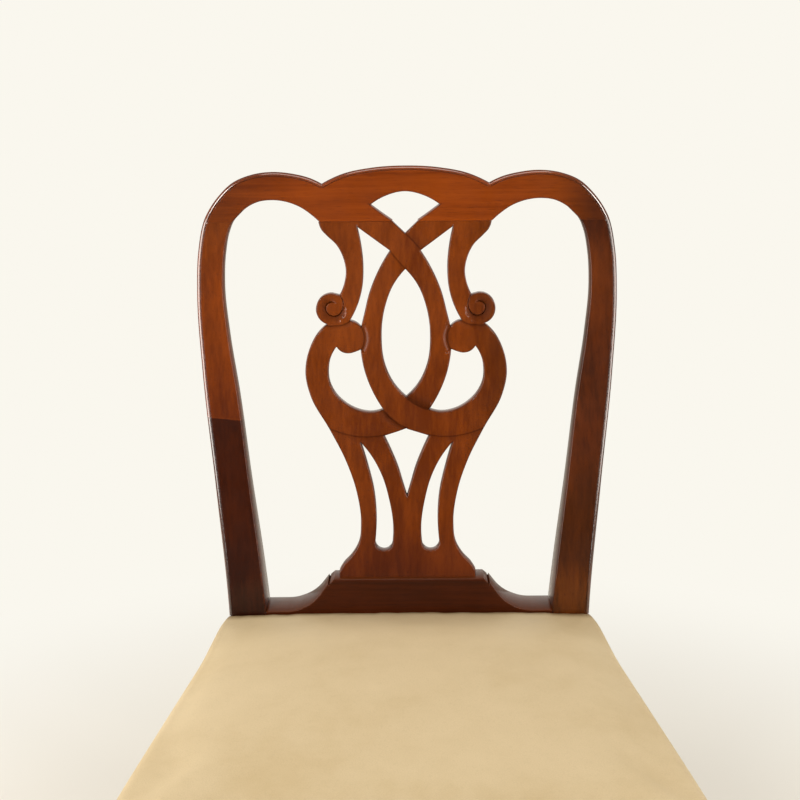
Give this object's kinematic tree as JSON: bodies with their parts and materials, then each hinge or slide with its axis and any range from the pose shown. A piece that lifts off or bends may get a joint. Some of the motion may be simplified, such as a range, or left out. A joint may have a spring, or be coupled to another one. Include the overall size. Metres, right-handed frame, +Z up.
{
  "type": "side chair",
  "caption": "Georgian side chair in mahogany with an arched crest rail, a pierced interlaced splat in a shoe, square legs with stretchers and a stuff-over leather seat.",
  "frame": {"origin": "on the floor, under the middle of the chair's bounding box", "axes": "+Z up, -Y the way the chair faces, +X to the right of someone who stands in front of the chair and looks at it; node names use left for -X"},
  "size_m": [0.537, 0.5576, 0.977],
  "materials": {
    "mahogany": "polished dark red-brown mahogany under a glossy lacquer",
    "beech": "bare planed beech",
    "steel": "plain bright steel",
    "webbing": "twilled jute webbing",
    "hessian": "plain-woven hessian",
    "cambric": "black woven cambric",
    "leather": "smooth cream leather with a low sheen",
    "wadding": "loose white cotton",
    "stuffing": "dark curled hair, stitched to an edge roll"
  },
  "bodies": {
    "root": {"rear_post_left": "mahogany", "rear_post_right": "mahogany", "crest_rail": "mahogany", "splat": "mahogany", "splat_shoe": "mahogany", "front_leg_left": "mahogany", "front_leg_right": "mahogany", "rear_seat_rail": "mahogany", "side_stretcher_left": "mahogany", "side_stretcher_right": "mahogany", "cross_stretcher": "mahogany", "rear_stretcher": "mahogany", "front_seat_rail": "beech", "side_seat_rail_left": "beech", "side_seat_rail_right": "beech", "corner_block_front_left": "beech", "corner_block_front_right": "beech", "corner_block_rear_left": "beech", "corner_block_rear_right": "beech", "block_screw_front_left_a": "steel", "block_screw_front_left_b": "steel", "block_screw_front_right_a": "steel", "block_screw_front_right_b": "steel", "block_screw_rear_left_a": "steel", "block_screw_rear_left_b": "steel", "block_screw_rear_right_a": "steel", "block_screw_rear_right_b": "steel", "foot_glide_front_left": "steel", "foot_glide_front_right": "steel", "foot_glide_rear_left": "steel", "foot_glide_rear_right": "steel", "webbing_lengthwise_1": "webbing", "webbing_lengthwise_2": "webbing", "webbing_lengthwise_3": "webbing", "webbing_crosswise_1": "webbing", "webbing_crosswise_2": "webbing", "webbing_crosswise_3": "webbing", "seat_hessian": "hessian", "dust_cover": "cambric", "seat_cover": "leather", "seat_wadding": "wadding", "seat_stuffing": "stuffing"}
  },
  "joints": []
}
